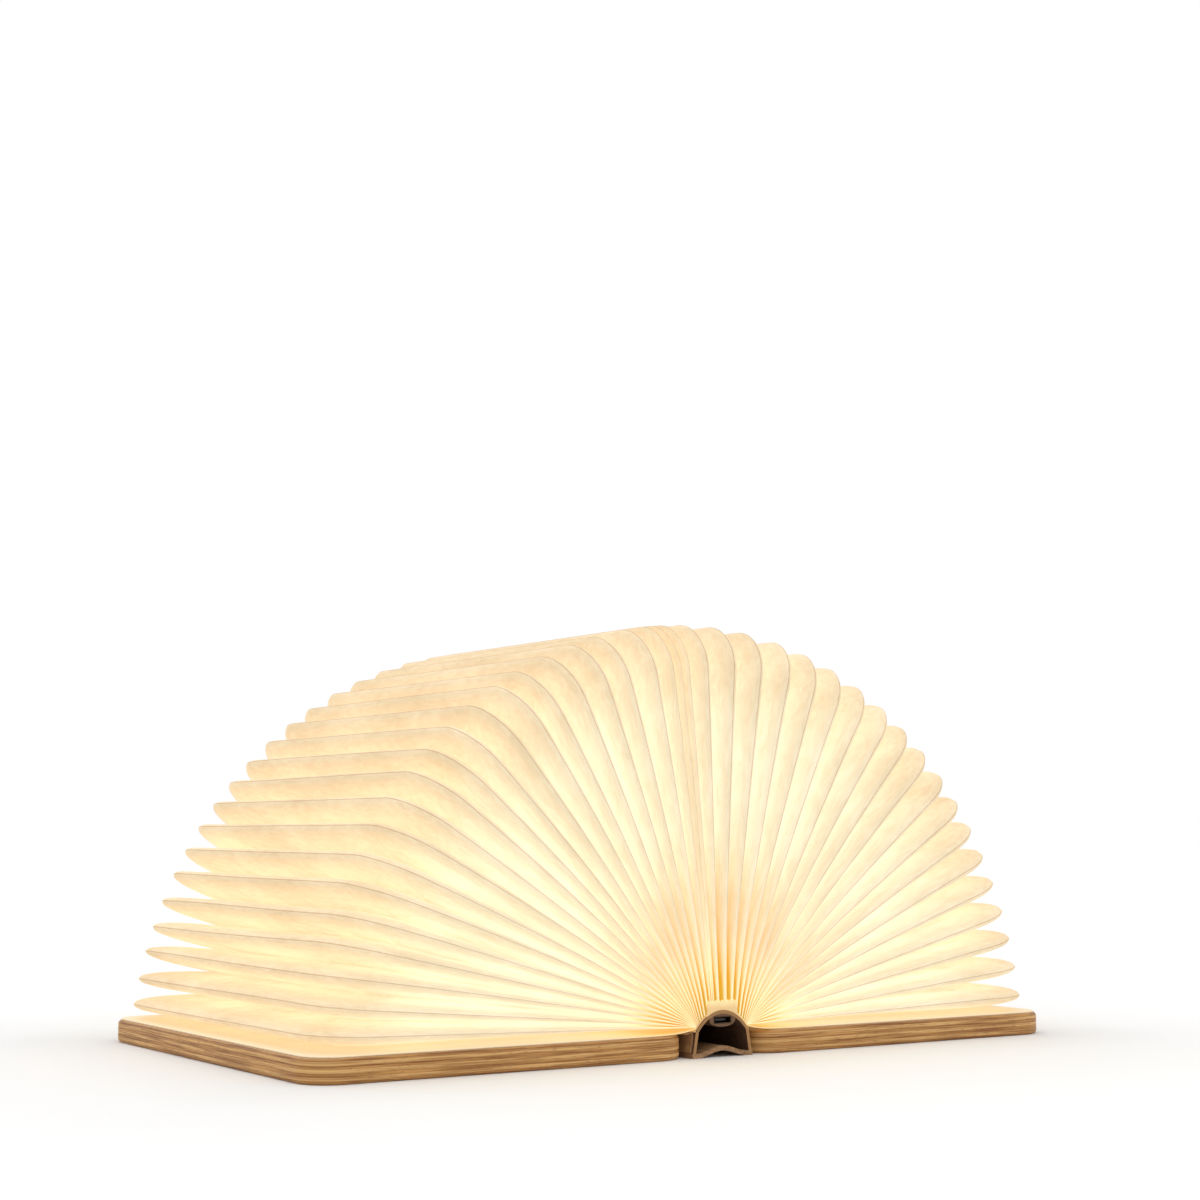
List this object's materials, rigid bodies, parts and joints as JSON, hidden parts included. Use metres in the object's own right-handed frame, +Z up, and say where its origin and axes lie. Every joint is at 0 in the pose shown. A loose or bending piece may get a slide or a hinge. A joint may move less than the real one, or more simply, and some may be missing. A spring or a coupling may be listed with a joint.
{
  "type": "folding book lamp",
  "caption": "Book-shaped lamp: two hinged plywood covers open flat, and a fan of pleated translucent paper spreads into a lit half round over the spine.",
  "frame": {"origin": "on the table under the middle of the spine, with the lamp open flat", "axes": "+X across the spine to the right cover, +Y along the spine away from the charging inlet, +Z up"},
  "size_m": [0.306, 0.17, 0.1474],
  "materials": {
    "plywood": "satin",
    "spine_veneer": "satin",
    "brown_card": "matte",
    "cream_lining": "matte",
    "endpaper": "matte",
    "hinge_cloth": "matte",
    "white_plastic": "satin",
    "opal_plastic": "satin",
    "brown_plastic": "matte",
    "black_plastic": "matte",
    "wire_insulation": "satin",
    "bright_steel": "polished",
    "nickel_magnet": "polished",
    "cell_wrap": "gloss",
    "circuit_board": "satin",
    "white_board": "satin",
    "led": "gloss",
    "pleated_paper": "matte"
  },
  "bodies": {
    "spine": {"spine_strip": "spine_veneer", "spine_arch": "brown_card", "arch_lining": "cream_lining", "pleat_bands": "cream_lining", "left_hinge_cloth": "hinge_cloth", "right_hinge_cloth": "hinge_cloth", "light_channel": "white_plastic", "front_end_cap": "white_plastic", "rear_end_cap": "white_plastic", "end_cap_screws": "bright_steel", "battery_cell": "cell_wrap", "battery_leads": "wire_insulation", "control_board": "circuit_board", "switch_sensor": "black_plastic", "led_leads": "wire_insulation", "led_board": "white_board", "leds": "led", "diffuser": "opal_plastic", "charging_pod": "brown_plastic", "charging_inlet": "bright_steel", "inlet_tongue": "black_plastic", "charging_lead": "wire_insulation"},
    "left_cover": {"left_cover": "plywood", "left_endpaper": "endpaper", "left_magnets": "nickel_magnet"},
    "right_cover": {"right_cover": "plywood", "right_endpaper": "endpaper", "right_magnets": "nickel_magnet", "switch_magnet": "nickel_magnet"},
    "left_pleats_1": {"left_pleats_1": "pleated_paper"},
    "left_pleats_2": {"left_pleats_2": "pleated_paper"},
    "left_pleats_3": {"left_pleats_3": "pleated_paper"},
    "left_pleats_4": {"left_pleats_4": "pleated_paper"},
    "left_pleats_5": {"left_pleats_5": "pleated_paper"},
    "left_pleats_6": {"left_pleats_6": "pleated_paper"},
    "left_pleats_7": {"left_pleats_7": "pleated_paper"},
    "right_pleats_1": {"right_pleats_1": "pleated_paper"},
    "right_pleats_2": {"right_pleats_2": "pleated_paper"},
    "right_pleats_3": {"right_pleats_3": "pleated_paper"},
    "right_pleats_4": {"right_pleats_4": "pleated_paper"},
    "right_pleats_5": {"right_pleats_5": "pleated_paper"},
    "right_pleats_6": {"right_pleats_6": "pleated_paper"},
    "right_pleats_7": {"right_pleats_7": "pleated_paper"}
  },
  "joints": [
    {"name": "left_cover_hinge", "type": "hinge", "parent": "spine", "child": "left_cover", "pos_m": [-0.0125, 0, 0.008], "axis": [0, 1, 0], "range_deg": [0, 90], "deforming": ["left_hinge_cloth"]},
    {"name": "right_cover_hinge", "type": "hinge", "parent": "spine", "child": "right_cover", "pos_m": [0.0125, 0, 0.008], "axis": [0, -1, 0], "range_deg": [0, 90], "deforming": ["right_hinge_cloth"]},
    {"name": "left_pleats_1_fold", "type": "hinge", "parent": "spine", "child": "left_pleats_1", "pos_m": [-0.00082, 0, 0.01599], "axis": [0, 1, 0], "range_deg": [0, 6.44], "deforming": ["left_pleats_1"]},
    {"name": "left_pleats_2_fold", "type": "hinge", "parent": "spine", "child": "left_pleats_2", "pos_m": [-0.00246, 0, 0.01574], "axis": [0, 1, 0], "range_deg": [0, 19.3], "deforming": ["left_pleats_2"]},
    {"name": "left_pleats_3_fold", "type": "hinge", "parent": "spine", "child": "left_pleats_3", "pos_m": [-0.00411, 0, 0.01524], "axis": [0, 1, 0], "range_deg": [0, 32.15], "deforming": ["left_pleats_3"]},
    {"name": "left_pleats_4_fold", "type": "hinge", "parent": "spine", "child": "left_pleats_4", "pos_m": [-0.00575, 0, 0.01445], "axis": [0, 1, 0], "range_deg": [0, 45.01], "deforming": ["left_pleats_4"]},
    {"name": "left_pleats_5_fold", "type": "hinge", "parent": "spine", "child": "left_pleats_5", "pos_m": [-0.00739, 0, 0.01334], "axis": [0, 1, 0], "range_deg": [0, 57.87], "deforming": ["left_pleats_5"]},
    {"name": "left_pleats_6_fold", "type": "hinge", "parent": "spine", "child": "left_pleats_6", "pos_m": [-0.00904, 0, 0.01186], "axis": [0, 1, 0], "range_deg": [0, 70.72], "deforming": ["left_pleats_6"]},
    {"name": "left_pleats_7_fold", "type": "hinge", "parent": "spine", "child": "left_pleats_7", "pos_m": [-0.01068, 0, 0.0099], "axis": [0, 1, 0], "range_deg": [0, 83.58], "deforming": ["left_pleats_7"]},
    {"name": "right_pleats_1_fold", "type": "hinge", "parent": "spine", "child": "right_pleats_1", "pos_m": [0.00082, 0, 0.01599], "axis": [0, -1, 0], "range_deg": [0, 6.44], "deforming": ["right_pleats_1"]},
    {"name": "right_pleats_2_fold", "type": "hinge", "parent": "spine", "child": "right_pleats_2", "pos_m": [0.00246, 0, 0.01574], "axis": [0, -1, 0], "range_deg": [0, 19.3], "deforming": ["right_pleats_2"]},
    {"name": "right_pleats_3_fold", "type": "hinge", "parent": "spine", "child": "right_pleats_3", "pos_m": [0.00411, 0, 0.01524], "axis": [0, -1, 0], "range_deg": [0, 32.15], "deforming": ["right_pleats_3"]},
    {"name": "right_pleats_4_fold", "type": "hinge", "parent": "spine", "child": "right_pleats_4", "pos_m": [0.00575, 0, 0.01445], "axis": [0, -1, 0], "range_deg": [0, 45.01], "deforming": ["right_pleats_4"]},
    {"name": "right_pleats_5_fold", "type": "hinge", "parent": "spine", "child": "right_pleats_5", "pos_m": [0.00739, 0, 0.01334], "axis": [0, -1, 0], "range_deg": [0, 57.87], "deforming": ["right_pleats_5"]},
    {"name": "right_pleats_6_fold", "type": "hinge", "parent": "spine", "child": "right_pleats_6", "pos_m": [0.00904, 0, 0.01186], "axis": [0, -1, 0], "range_deg": [0, 70.72], "deforming": ["right_pleats_6"]},
    {"name": "right_pleats_7_fold", "type": "hinge", "parent": "spine", "child": "right_pleats_7", "pos_m": [0.01068, 0, 0.0099], "axis": [0, -1, 0], "range_deg": [0, 83.58], "deforming": ["right_pleats_7"]}
  ],
  "couplings": [
    {"joint": "left_pleats_1_fold", "follows": "left_cover_hinge", "ratio": 0.071429},
    {"joint": "left_pleats_2_fold", "follows": "left_cover_hinge", "ratio": 0.21429},
    {"joint": "left_pleats_3_fold", "follows": "left_cover_hinge", "ratio": 0.35714},
    {"joint": "left_pleats_4_fold", "follows": "left_cover_hinge", "ratio": 0.5},
    {"joint": "left_pleats_5_fold", "follows": "left_cover_hinge", "ratio": 0.64286},
    {"joint": "left_pleats_6_fold", "follows": "left_cover_hinge", "ratio": 0.78571},
    {"joint": "left_pleats_7_fold", "follows": "left_cover_hinge", "ratio": 0.92857},
    {"joint": "right_pleats_1_fold", "follows": "right_cover_hinge", "ratio": 0.071429},
    {"joint": "right_pleats_2_fold", "follows": "right_cover_hinge", "ratio": 0.21429},
    {"joint": "right_pleats_3_fold", "follows": "right_cover_hinge", "ratio": 0.35714},
    {"joint": "right_pleats_4_fold", "follows": "right_cover_hinge", "ratio": 0.5},
    {"joint": "right_pleats_5_fold", "follows": "right_cover_hinge", "ratio": 0.64286},
    {"joint": "right_pleats_6_fold", "follows": "right_cover_hinge", "ratio": 0.78571},
    {"joint": "right_pleats_7_fold", "follows": "right_cover_hinge", "ratio": 0.92857}
  ]
}
